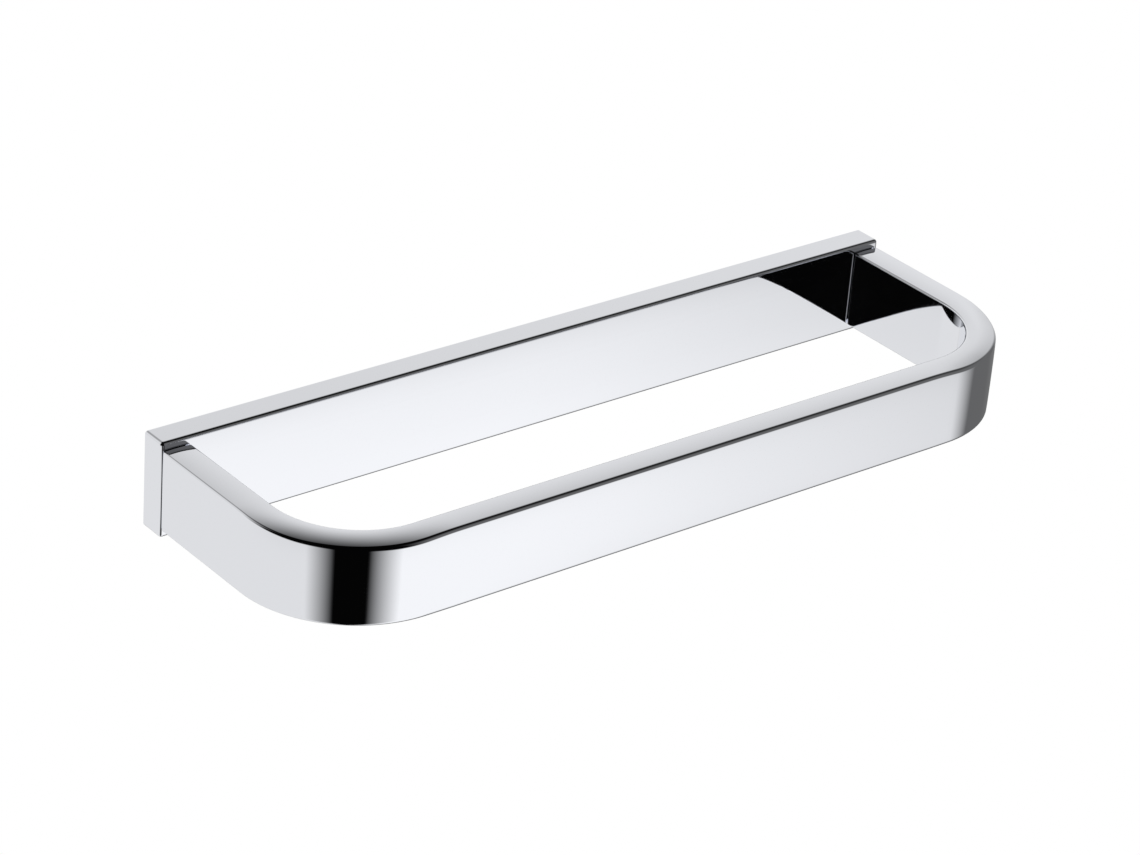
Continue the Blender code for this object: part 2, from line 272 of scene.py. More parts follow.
# %% [markdown]
# ## Chrome
#
# Polished chrome is a mirror: nearly all of its look is what it reflects. It is a metal with a
# slightly cool, almost white colour and very little roughness. A finish that is the same everywhere
# looks like a computer's mirror, so faint clouds in the roughness stand for the last polishing
# wheel, and a bump of two thousandths of a millimetre for the waviness that it leaves in a long
# flat face.
#
# Inside pockets and holes, and on the back, the plating lies on milled brass. The same metal is
# duller there, with the fine lines of the cutter.

# %% Helpers for materials
NOISE_DETAIL = 3.0
NOISE_LOW = 0.3
NOISE_HIGH = 0.7


def new_material(name):
    """A material with a Principled shader, and its node tree."""
    material = bpy.data.materials.new(name)
    material.use_nodes = True
    return material, material.node_tree, material.node_tree.nodes["Principled BSDF"]


def noise(tree, scale, detail=NOISE_DETAIL, stretch=(1, 1, 1)):
    """Noise on the piece's own coordinates, in turns per metre."""
    place = tree.nodes.new("ShaderNodeTexCoord")
    mapping = tree.nodes.new("ShaderNodeMapping")
    mapping.inputs["Scale"].default_value = stretch
    texture = tree.nodes.new("ShaderNodeTexNoise")
    texture.inputs["Scale"].default_value = scale
    texture.inputs["Detail"].default_value = detail
    tree.links.new(place.outputs["Object"], mapping.inputs["Vector"])
    tree.links.new(mapping.outputs["Vector"], texture.inputs["Vector"])
    return texture.outputs["Fac"]


def spread(tree, value, low, high):
    """Spread a noise value, most of which lies round one half, over a range."""
    node = tree.nodes.new("ShaderNodeMapRange")
    node.inputs["From Min"].default_value = NOISE_LOW
    node.inputs["From Max"].default_value = NOISE_HIGH
    node.inputs["To Min"].default_value = low
    node.inputs["To Max"].default_value = high
    tree.links.new(value, node.inputs["Value"])
    return node.outputs["Result"]


def colours(tree, value, first, second):
    """A colour between two, by a noise value."""
    node = tree.nodes.new("ShaderNodeMix")
    node.data_type = "RGBA"
    node.inputs["A"].default_value = (*first, 1)
    node.inputs["B"].default_value = (*second, 1)
    tree.links.new(spread(tree, value, 0, 1), node.inputs["Factor"])
    return node.outputs["Result"]


def bump(tree, shader, height, distance):
    """Let a height texture tilt the shader's normal."""
    node = tree.nodes.new("ShaderNodeBump")
    node.inputs["Strength"].default_value = 1.0
    node.inputs["Distance"].default_value = distance
    tree.links.new(height, node.inputs["Height"])
    tree.links.new(node.outputs["Normal"], shader.inputs["Normal"])


# %% Chrome materials
CHROME_COLOUR = (0.905, 0.917, 0.955, 1)
HAZE_SCALE = 60
HAZE_ROUGHNESS = (0.02, 0.05)
WAVE_SCALE = 25
WAVE_DETAIL = 1.0
WAVE_HEIGHT = 0.002 * MM
CUTTER_SCALE = 300
CUTTER_STRETCH = (1, 12, 12)
CUTTER_ROUGHNESS = (0.22, 0.36)
CUTTER_HEIGHT = 0.01 * MM
FINE_DETAIL = 4.0


def polished_chrome():
    """Chrome from the polishing wheel: a mirror with a trace of haze and waviness."""
    material, tree, shader = new_material("polished_chrome")
    shader.inputs["Base Color"].default_value = CHROME_COLOUR
    shader.inputs["Metallic"].default_value = 1.0
    haze = spread(tree, noise(tree, HAZE_SCALE), *HAZE_ROUGHNESS)
    tree.links.new(haze, shader.inputs["Roughness"])
    bump(tree, shader, noise(tree, WAVE_SCALE, WAVE_DETAIL), WAVE_HEIGHT)
    return material


def milled_chrome():
    """The same plating on milled brass: duller, with the lines of the cutter along the piece."""
    material, tree, shader = new_material("milled_chrome")
    shader.inputs["Base Color"].default_value = CHROME_COLOUR
    shader.inputs["Metallic"].default_value = 1.0
    lines = noise(tree, CUTTER_SCALE, FINE_DETAIL, CUTTER_STRETCH)
    tree.links.new(spread(tree, lines, *CUTTER_ROUGHNESS), shader.inputs["Roughness"])
    bump(tree, shader, lines, CUTTER_HEIGHT)
    return material


polished = polished_chrome()
milled = milled_chrome()
print("made", polished.name, "and", milled.name)

# %% [markdown]
# ## The ring
#
# A press bends the real bar round two dies. The section starts as one flat face, whose corners are
# rounded and whose sides are divided by lines that crowd towards the corners. It is extruded along
# an arm, spun round the bend and extruded to the middle, and the other half is its mirror image.
#
# One function then shapes the swept band. Top and bottom are crowned by about a tenth of a
# millimetre, the upright sides get the roll-off, and the edges grow rounder from the arm towards the
# front. The outside of a bend is stretched, so the bar gets lower there: 0.6 mm on top and much less
# below. It shows as a dark crescent on each bend. The loss grows with the square of the distance
# from a line along the top, which lies off the inside on the arm and reaches it at the front.
# Along the ring it fades in from the arm and out towards the front, over a few more rims.

# %% Lines that crowd towards an edge
def crowd(share):
    """Move an evenly spread share from -1 to 1 towards the nearer end."""
    return math.copysign(1 - (1 - abs(share)) ** 2, share)


def band_section(bm, centre):
    """The band's cut face at an arm's end, with round corners and divided sides."""
    half_width = BAND_THICKNESS / 2
    half_height = (RING_HIGH.z - RING_LOW.z) / 2 - BAND_CROWN
    add_section(bm, centre, 2 * half_width, 2 * half_height)
    rounded(bm, bm.verts[:], BAND_EDGE_RADIUS, ROUND_STEPS, "VERTICES")
    sides = [edge for edge in bm.edges if edge.calc_length() > BAND_THICKNESS / 2]
    bmesh.ops.subdivide_edges(bm, edges=sides, cuts=FACE_LINES)
    flat_width = half_width - BAND_EDGE_RADIUS
    flat_height = half_height - BAND_EDGE_RADIUS
    for vert in bm.verts:
        across = vert.co.x - centre.x
        height = vert.co.z - centre.z
        if abs(across) < flat_width:
            vert.co.x = centre.x + flat_width * crowd(across / flat_width)
        if abs(height) < flat_height:
            vert.co.z = centre.z + flat_height * crowd(height / flat_height)


# %% Half of the ring
BEND_LOSS = 0.62 * MM
BEND_LOSS_BELOW = 0.15 * MM
BEND_LOSS_START = 1.5 * MM
ARM_FADE_OUT = 4 * MM
ARM_FADE_IN = 15 * MM
FRONT_FADE = 9 * MM
FADE_RIMS = 5
BAND_END_STEPS = 6


def pulled(bm, rim, way, steps=1):
    """Extrude an open rim along a way in equal steps, and return the last rim."""
    for _ in range(steps):
        grown = bmesh.ops.extrude_edge_only(bm, edges=rim)["geom"]
        verts = set(only(grown, bmesh.types.BMVert))
        bmesh.ops.translate(bm, vec=way / steps, verts=list(verts))
        rim = [edge for edge in only(grown, bmesh.types.BMEdge) if set(edge.verts) <= verts]
    return rim


def smooth(share):
    """A smooth step of a share, held between 0 and 1."""
    share = min(max(share, 0), 1)
    return share * share * (3 - 2 * share)


def wider_corner(place, half, share):
    """Move a place across a side, so that the corner radius grows with the share."""
    radius = BAND_EDGE_RADIUS + (BAND_FRONT_RADIUS - BAND_EDGE_RADIUS) * share
    flat = half - BAND_EDGE_RADIUS
    if abs(place) > flat:
        distance = half - (half - abs(place)) * radius / BAND_EDGE_RADIUS
    else:
        distance = abs(place) * (half - radius) / flat
    return math.copysign(distance, place)


def shape_band(bm, bend_x, bend_y):
    """Round the edges more towards the front, crown the faces and stretch the bend's outside."""
    half_height = (RING_HIGH.z - RING_LOW.z) / 2 - BAND_CROWN
    half_width = BAND_THICKNESS / 2
    middle_radius = BAND_CORNER_RADIUS - half_width
    length = middle_radius * math.pi / 2
    for vert in bm.verts:
        right = max(vert.co.x - bend_x, 0)
        forward = max(bend_y - vert.co.y, 0)
        reach = math.hypot(right, forward)
        if right == 0:
            turn = length + bend_x - vert.co.x
        elif forward == 0:
            turn = bend_y - vert.co.y
        else:
            turn = middle_radius * math.atan2(forward, right)
        across = wider_corner(reach - middle_radius, half_width, smooth(turn / length))
        height = wider_corner(vert.co.z, half_height, smooth(turn / length))
        share = min(smooth((turn + ARM_FADE_OUT) / (ARM_FADE_OUT + ARM_FADE_IN)),
                    smooth((length + FRONT_FADE - turn) / (2 * FRONT_FADE)))
        start = BEND_LOSS_START * (1 - smooth(turn / length))
        out = max(across + half_width - start, 0) / (BAND_THICKNESS - start)
        loss = (BEND_LOSS if height > 0 else BEND_LOSS_BELOW) * share * out ** 2
        crown = BAND_CROWN * (1 - (across / half_width) ** 2)
        roll = RING_ROLL_OFF * abs(height / half_height) ** ROLL_OFF_POWER
        grown = middle_radius + across * (1 - roll / half_width)
        vert.co.x += right / reach * (grown - reach)
        vert.co.y -= forward / reach * (grown - reach)
        vert.co.z = height * (1 + (crown - loss) / half_height)


def swept_half():
    """Half of the ring, from an arm's end to the middle."""
    bend_x = RING_HIGH.x - BAND_CORNER_RADIUS
    bend_y = RING_LOW.y + BAND_CORNER_RADIUS
    bm = bmesh.new()
    band_section(bm, Vector((ARM_X, RING_HIGH.y, 0)))
    end_rim = bm.edges[:]
    strip = BAND_END_RADIUS + SUPPORT
    rim = pulled(bm, end_rim, Vector((0, -strip, 0)))
    rim = pulled(bm, rim, Vector((0, bend_y + ARM_FADE_OUT + strip - RING_HIGH.y, 0)))
    rim = pulled(bm, rim, Vector((0, -ARM_FADE_OUT, 0)), FADE_RIMS)
    bend = spun(bm, rim, -math.pi / 2, BEND_STEPS, (bend_x, bend_y, 0))
    rim = only(bend["geom_last"], bmesh.types.BMEdge)
    rim = pulled(bm, rim, Vector((-FRONT_FADE, 0, 0)), FADE_RIMS)
    pulled(bm, rim, Vector((FRONT_FADE - bend_x, 0, 0)))
    shape_band(bm, bend_x, bend_y)
    rounded(bm, end_rim, BAND_END_RADIUS, BAND_END_STEPS)
    return bm


# %% [markdown]
# Four holes go into the ends of the arms. On the real ring they are tapped. Here they are plain,
# because the screws fill them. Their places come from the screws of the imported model, and their
# clearance is the one that the model leaves.

# %% The polished ring
CLEARANCE = 0.3 * MM
RING_SCREW_RADIUS = 1.5 * MM
INTO_WALL = Matrix.Rotation(-math.pi / 2, 4, "X")


def screw_spots():
    """The place's name, the ends along Y and the middle of each screw that holds the ring."""
    for side in SIDES:
        for level in LEVELS:
            low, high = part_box(f"ring_screw_{side}_{level}")
            yield f"{side}_{level}", low.y, high.y, (low + high) / 2


def build_ring():
    """Mirror the half, and drill the four holes."""
    bm = swept_half()
    bmesh.ops.mirror(bm, geom=bm.verts[:] + bm.edges[:] + bm.faces[:], matrix=Matrix(),
                     merge_dist=MERGE_DISTANCE, axis="X")
    mesh = mesh_from("polished_ring", bm)
    drills = []
    for _, tip, _, middle in screw_spots():
        depth = RING_HIGH.y - tip + CLEARANCE
        drill = round_bar(RING_SCREW_RADIUS + CLEARANCE, depth + MM, HOLE_STEPS)
        drills.append(moved(drill, (middle.x, RING_HIGH.y + MM, middle.z), INTO_WALL))
    mesh = worked(mesh, drills)
    finish_piece("polished_ring", mesh, [polished, milled], "towel_ring")


build_ring()

# %% [markdown]
# ## The back rail
#
# The rail is drawn bar stock. Its front, top, bottom and ends are polished with small radii, and
# its back is left flat for the wall. A block with bevelled edges gives the same form. Bisecting
# planes then divide it, so that the front can take its roll-off and every small radius gets its
# supporting strip.

# %% The rail's block
def split(bm, axis, place):
    """Divide all faces of a bmesh along a plane across one axis."""
    point = [0, 0, 0]
    normal = [0, 0, 0]
    point[axis] = place
    normal[axis] = 1
    bmesh.ops.bisect_plane(bm, geom=bm.verts[:] + bm.edges[:] + bm.faces[:], dist=MERGE_DISTANCE,
                           plane_co=point, plane_no=normal)


def rail_block():
    """A block with small radii, whose front falls back at its upper and lower edges."""
    bm = bmesh.new()
    middle = (RAIL_LOW + RAIL_HIGH) / 2
    half = (RAIL_HIGH - RAIL_LOW) / 2
    add_block(bm, middle, RAIL_HIGH - RAIL_LOW)
    back = [edge for edge in bm.edges if all(vert.co.y > middle.y for vert in edge.verts)]
    front = [edge for edge in bm.edges if edge not in back]
    rounded(bm, front, RAIL_EDGE_RADIUS, ROUND_STEPS)
    back = [edge for edge in bm.edges if all(vert.co.y > RAIL_HIGH.y - MERGE_DISTANCE
                                             for vert in edge.verts)]
    rounded(bm, back, RAIL_BACK_EDGE, FINE_ROUND_STEPS)
    for sign in (-1, 1):
        split(bm, 0, middle.x + sign * (half.x - RAIL_EDGE_RADIUS - SUPPORT))
    split(bm, 1, RAIL_LOW.y + RAIL_EDGE_RADIUS + SUPPORT)
    split(bm, 1, RAIL_HIGH.y - RAIL_BACK_EDGE - SUPPORT)
    flat_height = half.z - RAIL_EDGE_RADIUS
    for line in range(1, FACE_LINES + 1):
        share = 2 * line / (FACE_LINES + 1) - 1
        split(bm, 2, middle.z + flat_height * crowd(share))
    for vert in bm.verts:
        forward = (middle.y - vert.co.y) / half.y
        height = (vert.co.z - middle.z) / half.z
        if forward > 0:
            vert.co.y += forward * RAIL_ROLL_OFF * abs(height) ** ROLL_OFF_POWER
    return mesh_from("polished_rail", bm)


# %% [markdown]
# The back is milled as on the real rail: a pocket with round corners for each wall bracket, a
# stepped seat for each screw and its lock washer, and a tapped hole from below for each grub
# screw. The pocket is the bracket's box and its clearance, with room for the cutter's radius.

# %% Tools for the rail's back
POCKET_CORNER_RADIUS = 2 * MM
WASHER_RADIUS = 2.8 * MM


def pocket_cutter(low, high):
    """A milling cutter's way round one bracket."""
    size = high - low
    bm = bmesh.new()
    bmesh.ops.create_cube(bm, size=1)
    bmesh.ops.scale(bm, vec=(size.x + 2 * POCKET_CORNER_RADIUS, size.y + CLEARANCE + MM,
                             size.z + 2 * CLEARANCE), verts=bm.verts)
    upright = [edge for edge in bm.edges if abs(edge.verts[0].co.y - edge.verts[1].co.y) > MM]
    rounded(bm, upright, POCKET_CORNER_RADIUS, ROUND_STEPS)
    bmesh.ops.translate(bm, vec=((low.x + high.x) / 2, (low.y - CLEARANCE + high.y + MM) / 2, 0),
                        verts=bm.verts)
    return mesh_from("pocket", bm)


def seat_cutters(middle, washer_low):
    """The hole of a screw, and the seat for its head and washer, from the wall's side."""
    hole = round_bar(RING_SCREW_RADIUS + CLEARANCE, RAIL_HIGH.y - RAIL_LOW.y + 2 * MM,
                     HOLE_STEPS)
    seat = round_bar(WASHER_RADIUS + CLEARANCE, RAIL_HIGH.y - washer_low + CLEARANCE + MM)
    start = (middle.x, RAIL_HIGH.y + MM, middle.z)
    return [moved(hole, start, INTO_WALL), moved(seat, start, INTO_WALL)]


# %% [markdown]
# ## Screw threads
#
# A thread is a groove of 60 degrees that climbs by one pitch in each turn. One pitch of its profile
# is spun about the axis while it moves down, so that each turn's lower edge meets the next turn's
# upper edge. An eighth of the pitch is left flat at the crest, and more at the root. Two planes
# cut the ends square. For a screw, the rod is then intersected with a turned blank, whose chamfers
# let the thread run out as on a real one.

# %% A helper that makes threads
THREAD_STEPS = 24


def threaded_rod(radius, pitch, length):
    """A threaded rod on Z, from the origin down, a little longer than asked for."""
    flank = pitch * 5 / 16
    depth = flank / math.tan(math.radians(30))
    turns = math.ceil(length / pitch) + 2
    heights = (0, -pitch / 8, -pitch / 8 - flank, -pitch + flank, -pitch)
    radii = (radius, radius, radius - depth, radius - depth, radius)
    bm = bmesh.new()
    points = [bm.verts.new((out, 0, height)) for out, height in zip(radii, heights)]
    profile = [bm.edges.new(pair) for pair in zip(points, points[1:])]
    spun(bm, profile, 2 * math.pi * turns, THREAD_STEPS * turns, climb=-pitch / THREAD_STEPS)
    bmesh.ops.remove_doubles(bm, verts=bm.verts, dist=MERGE_DISTANCE)
    for place, normal in ((-pitch, 1), (-pitch * turns, -1)):
        bmesh.ops.bisect_plane(bm, geom=bm.verts[:] + bm.edges[:] + bm.faces[:],
                               dist=MERGE_DISTANCE / 10, plane_co=(0, 0, place),
                               plane_no=(0, 0, normal), clear_outer=True)
    bmesh.ops.holes_fill(bm, edges=[edge for edge in bm.edges if edge.is_boundary], sides=0)
    bmesh.ops.translate(bm, vec=(0, 0, pitch), verts=bm.verts)
    return mesh_from("thread", bm)


# %% [markdown]
# The grub screws are M4 with a thread of 0.7 mm, so their holes in the rail get the thread's
# counterpart. The same rod cuts it, with a radius that is larger by one and a half times the
# clearance. A countersink opens the hole's mouth.

# %% The polished rail
GRUB_RADIUS = 2 * MM
GRUB_PITCH = 0.7 * MM
TAP_RADIUS = GRUB_RADIUS + 1.5 * CLEARANCE
MOUTH = 0.25 * MM


def grub_hole_cutters(low, high):
    """A threaded hole from the rail's underside into the pocket, with a countersunk mouth."""
    middle = (low + high) / 2
    wall = high.z - RAIL_LOW.z
    start = Vector((middle.x, middle.y, RAIL_LOW.z + wall + MM))
    tap = threaded_rod(TAP_RADIUS, GRUB_PITCH, wall + 2 * MM)
    rim = TAP_RADIUS + MOUTH
    mouth = turned("mouth", ((0, MM), (rim - MM, MM), (rim + MM, -MM), (0, -MM)))
    return [moved(tap, start), moved(mouth, (middle.x, middle.y, RAIL_LOW.z))]


def build_rail():
    """The block, with all that is milled into its back and drilled from below."""
    tools = []
    for name, _, _, middle in screw_spots():
        washer_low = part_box("lock_washer_" + name)[0].y
        tools += seat_cutters(middle, washer_low)
    for side in SIDES:
        tools.append(pocket_cutter(*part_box("wall_bracket_" + side)))
        tools += grub_hole_cutters(*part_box("grub_screw_" + side))
    mesh = worked(rail_block(), tools)
    for polygon in mesh.polygons:
        if polygon.center.y > RAIL_HIGH.y - MERGE_DISTANCE:
            polygon.material_index = 1
    finish_piece("polished_rail", mesh, [polished, milled], "back_rail")


build_rail()

# %% [markdown]
# ## Steel
#
# Screws and washers are stainless steel, turned or rolled and then tumbled: a warm grey metal,
# much duller than the chrome, with fine marks that run round the axis. The brackets are sheet with
# a bluish zinc plating: paler, cloudy from the bath, with a fine grain from the rolling mill.

# %% Steel materials
CLOUD_SCALE = 220
GRAIN_SCALE = 1500
GRAIN_HEIGHT = 0.006 * MM


def steel(name, light, dark, grain, rough_low, rough_high):
    """A plain steel: clouds in its colour, and a fine grain in its roughness and height."""
    material, tree, shader = new_material(name)
    shader.inputs["Metallic"].default_value = 1.0
    tree.links.new(colours(tree, noise(tree, CLOUD_SCALE), dark, light), shader.inputs["Base Color"])
    marks = noise(tree, GRAIN_SCALE, FINE_DETAIL, grain)
    tree.links.new(spread(tree, marks, rough_low, rough_high), shader.inputs["Roughness"])
    bump(tree, shader, marks, GRAIN_HEIGHT)
    return material


stainless = steel("stainless_steel", (0.63, 0.62, 0.60), (0.52, 0.51, 0.49), (1, 3, 1), 0.22, 0.36)
spring_steel = steel("spring_steel", (0.56, 0.55, 0.53), (0.44, 0.43, 0.41), (1, 3, 1), 0.28, 0.42)
grub_steel = steel("grub_steel", (0.52, 0.51, 0.50), (0.42, 0.41, 0.40), (1, 1, 3), 0.25, 0.40)
zinc = steel("zinc_plating", (0.66, 0.68, 0.71), (0.55, 0.58, 0.62), (0.15, 1, 1), 0.30, 0.46)
print("made", stainless.name, spring_steel.name, grub_steel.name, zinc.name)

# %% [markdown]
# ## The screws of the ring
#
# These are socket screws with a low head. The head and the rod's envelope are turned, the thread is
# cut into the envelope, and a broach leaves the hexagon, here a six-sided bar with a cone below it
# from the drill and a small lead at its mouth. All four are the same, so the mesh is made once.

# %% A socket for the key
HEXAGON = 6
LEAD = MM / 10


def socket_tools(width, depth):
    """A hexagonal hole from the origin down, with the drill's cone below it."""
    corner = width / math.sqrt(3)
    hexagon = round_bar(corner, depth + MM, HEXAGON)
    drill = turned("drill", ((0, MM), (width / 2, MM), (width / 2, -depth),
                             (0, -depth - width / 4)), SMALL_STEPS)
    lead = turned("lead", ((0, MM), (corner + MM + LEAD, MM), (0, -corner - LEAD)), SMALL_STEPS)
    return [moved(hexagon, (0, 0, MM)), drill, lead]


# %% The four ring screws
SCREW_PITCH = 0.5 * MM
SCREW_HEAD_RADIUS = 2.75 * MM
SCREW_HEAD_HEIGHT = 2 * MM
HEAD_CHAMFER = 0.25 * MM
KEY_WIDTH = 2 * MM
SCREW_SOCKET_DEPTH = 1.1 * MM


def ring_screw_mesh(length):
    """A low-head socket screw on Z, with the underside of its head at the origin."""
    reach = length - SCREW_HEAD_HEIGHT
    blank = turned("socket_screw", (
        (0, MM),
        (RING_SCREW_RADIUS, MM),
        (RING_SCREW_RADIUS, HEAD_CHAMFER * 2 - reach),
        (RING_SCREW_RADIUS - HEAD_CHAMFER * 2, -reach),
        (0, -reach),
    ))
    thread = moved(threaded_rod(RING_SCREW_RADIUS, SCREW_PITCH, reach + 2 * MM), (0, 0, 2 * MM))
    shank = worked(blank, [thread], "INTERSECT")
    head = turned("head", (
        (0, SCREW_HEAD_HEIGHT),
        (SCREW_HEAD_RADIUS - HEAD_CHAMFER, SCREW_HEAD_HEIGHT),
        (SCREW_HEAD_RADIUS - HEAD_CHAMFER / 3, SCREW_HEAD_HEIGHT - HEAD_CHAMFER / 3),
        (SCREW_HEAD_RADIUS, SCREW_HEAD_HEIGHT - HEAD_CHAMFER),
        (SCREW_HEAD_RADIUS, HEAD_CHAMFER / 3),
        (SCREW_HEAD_RADIUS - HEAD_CHAMFER / 3, 0),
        (0, 0),
    ))
    screw = worked(head, [shank], "UNION")
    socket = [moved(tool, (0, 0, SCREW_HEAD_HEIGHT))
              for tool in socket_tools(KEY_WIDTH, SCREW_SOCKET_DEPTH)]
    return worked(screw, socket)


def build_ring_screws():
    """One screw mesh, placed in the four seats."""
    mesh = None
    for name, tip, head, middle in screw_spots():
        mesh = mesh or ring_screw_mesh(head - tip)
        spot = (middle.x, head - SCREW_HEAD_HEIGHT, middle.z)
        finish_piece("socket_screw_" + name, moved(mesh, spot, INTO_WALL), [stainless],
                     "ring_screw_" + name)


build_ring_screws()

# %% [markdown]
# ## The lock washers
#
# A split lock washer is one turn of rectangular wire, a little steeper than flat, so its cut ends
# stand apart and bite. A small rectangle with broken corners, spun by nearly a turn while it climbs,
# is just that.

# %% The four lock washers
WASHER_HOLE_RADIUS = 1.8 * MM
WASHER_THICKNESS = 0.7 * MM
WASHER_SLIT = 0.6 * MM
WASHER_EDGE = 0.1 * MM
WASHER_EDGE_STEPS = 3
WASHER_STEPS = 64


def lock_washer_mesh(lead):
    """A split washer on Z, from the origin up, whose ends differ by the lead."""
    bm = bmesh.new()
    width = WASHER_RADIUS - WASHER_HOLE_RADIUS
    middle = Vector(((WASHER_RADIUS + WASHER_HOLE_RADIUS) / 2, 0, WASHER_THICKNESS / 2))
    add_section(bm, middle, width, WASHER_THICKNESS)
    rounded(bm, bm.verts[:], WASHER_EDGE, WASHER_EDGE_STEPS, "VERTICES")
    turn = spun(bm, bm.edges[:], 2 * math.pi - WASHER_SLIT / WASHER_RADIUS, WASHER_STEPS,
                climb=lead / WASHER_STEPS)
    bmesh.ops.edgeloop_fill(bm, edges=only(turn["geom_last"], bmesh.types.BMEdge))
    return mesh_from("lock_washer", bm)


def build_lock_washers():
    """A washer under each of the four screw heads."""
    for name, _, _, middle in screw_spots():
        washer_low, washer_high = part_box("lock_washer_" + name)
        mesh = lock_washer_mesh(washer_high.y - washer_low.y - WASHER_THICKNESS)
        finish_piece("spring_washer_" + name,
                     moved(mesh, (middle.x, washer_low.y, middle.z), INTO_WALL), [spring_steel],
                     "lock_washer_" + name)


build_lock_washers()

# %% [markdown]
# ## The grub screws
#
# A grub screw is all thread, with a hexagon in one end and a flat point on the other. It is made as
# the ring screws are, without a head, and points up from the rail's underside.

# %% The two grub screws
GRUB_CHAMFER = 0.5 * MM
GRUB_SOCKET_DEPTH = 1.7 * MM
UPSIDE_DOWN = Matrix.Rotation(math.pi, 4, "X")


def grub_screw_mesh(length):
    """A socket grub screw on Z, from its tip at the origin up to its socket."""
    blank = turned("grub_screw", (
        (0, length),
        (GRUB_RADIUS - GRUB_CHAMFER, length),
        (GRUB_RADIUS, length - GRUB_CHAMFER),
        (GRUB_RADIUS, GRUB_CHAMFER),
        (GRUB_RADIUS - GRUB_CHAMFER, 0),
        (0, 0),
    ))
    thread = moved(threaded_rod(GRUB_RADIUS, GRUB_PITCH, length + 2 * MM), (0, 0, length + MM))
    screw = worked(blank, [thread], "INTERSECT")
    socket = [moved(tool, (0, 0, length)) for tool in socket_tools(KEY_WIDTH, GRUB_SOCKET_DEPTH)]
    return worked(screw, socket)


def build_grub_screws():
    """A grub screw in each of the two holes, with its tip up."""
    for side in SIDES:
        low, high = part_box("grub_screw_" + side)
        spot = ((low.x + high.x) / 2, (low.y + high.y) / 2, high.z)
        mesh = moved(grub_screw_mesh(high.z - low.z), spot, UPSIDE_DOWN)
        finish_piece("set_screw_" + side, mesh, [grub_steel], "grub_screw_" + side)


build_grub_screws()

# %% [markdown]
# ## The wall brackets
#
# Each bracket is one strip of 1.5 mm sheet, bent up twice by a press and punched with two slots, in
# which it can be shifted on its wall screws. The sheet's outer surface is drawn first: a plate and
# two flanges, whose bends are bevelled edges. Solidify then gives it its thickness inwards, and a
# Bevel modifier breaks the edges that the punch leaves.

# %% The two brackets
SHEET = 1.5 * MM
BEND_RADIUS = 2.7 * MM
FLANGE_CORNER = 1.5 * MM
SLOT_WIDTH = 4.6 * MM
SLOT_LENGTH = 8 * MM
SLOT_SPACING = 20 * MM
SHEET_BEND_STEPS = 10
SLOT_END_STEPS = 12
BROKEN_EDGE = 0.12 * MM
BROKEN_EDGE_STEPS = 2
BROKEN_EDGE_ANGLE = 60


def bracket_sheet(low, high):
    """The outer surface of a bracket: a plate on the wall and two flanges."""
    bm = bmesh.new()
    middle = (low + high) / 2
    add_block(bm, middle, high - low)
    open_sides = [face for face in bm.faces if abs(face.normal.x) > 0.5 or face.normal.y < -0.5]
    bmesh.ops.delete(bm, geom=open_sides, context="FACES")
    bends = [edge for edge in bm.edges if not edge.is_boundary]
    rounded(bm, bends, BEND_RADIUS, SHEET_BEND_STEPS)
    corners = [vert for vert in bm.verts if len(vert.link_edges) == 2]
    rounded(bm, corners, FLANGE_CORNER, FINE_ROUND_STEPS, "VERTICES")
    return mesh_from("bracket", bm)


def slot_cutter(place):
    """A slot along X through the plate of a bracket, with round ends."""
    bm = bmesh.new()
    add_block(bm, place, (SLOT_LENGTH, 3 * SHEET, SLOT_WIDTH))
    ends = [edge for edge in bm.edges if abs(edge.verts[0].co.y - edge.verts[1].co.y) > SHEET]
    rounded(bm, ends, SLOT_WIDTH / 2, SLOT_END_STEPS)
    return mesh_from("slot", bm)


# %% Sheet, slots and broken edges
def build_bracket(side):
    """One bracket, from its sheet to its broken edges."""
    low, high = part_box("wall_bracket_" + side)
    middle = (low + high) / 2
    blank = placed("blank", bracket_sheet(low, high))
    thickness = blank.modifiers.new("sheet", "SOLIDIFY")
    thickness.thickness = SHEET
    thickness.offset = -1
    thickness.use_even_offset = True
    solid = applied(blank)
    bpy.data.objects.remove(blank)
    slots = [slot_cutter(Vector((middle.x + sign * SLOT_SPACING / 2, high.y - SHEET / 2, middle.z)))
             for sign in (-1, 1)]
    mesh = worked(solid, slots)
    piece = finish_piece("pressed_bracket_" + side, mesh, [zinc], "wall_bracket_" + side)
    edges = piece.modifiers.new("broken_edges", "BEVEL")
    edges.width = BROKEN_EDGE
    edges.segments = BROKEN_EDGE_STEPS
    edges.limit_method = "ANGLE"
    edges.angle_limit = math.radians(BROKEN_EDGE_ANGLE)
    edges.harden_normals = True


for side in SIDES:
    build_bracket(side)

# %% [markdown]
# ## The camera
#
# The view is the photograph's: from the left, above, with a long lens. The angles come from
# matching the long edges of the rail and the ring.

# %% Camera
CAMERA_AZIMUTH = 40.163
CAMERA_ELEVATION = 27.910
CAMERA_ROLL = 4.609
CAMERA_PLACE = (-0.53006, -0.64817, 0.42761)
CAMERA_SENSOR = 36.0
CAMERA_LENS = 117.65

camera_data = bpy.data.cameras.new("camera")
camera_data.sensor_width = CAMERA_SENSOR
camera_data.lens = CAMERA_LENS
camera = placed("camera", camera_data)
turn = (Matrix.Rotation(-math.radians(CAMERA_AZIMUTH), 4, "Z")
        @ Matrix.Rotation(math.radians(90 - CAMERA_ELEVATION), 4, "X")
        @ Matrix.Rotation(math.radians(CAMERA_ROLL), 4, "Z"))
camera.matrix_world = Matrix.Translation(CAMERA_PLACE) @ turn
bpy.context.scene.camera = camera

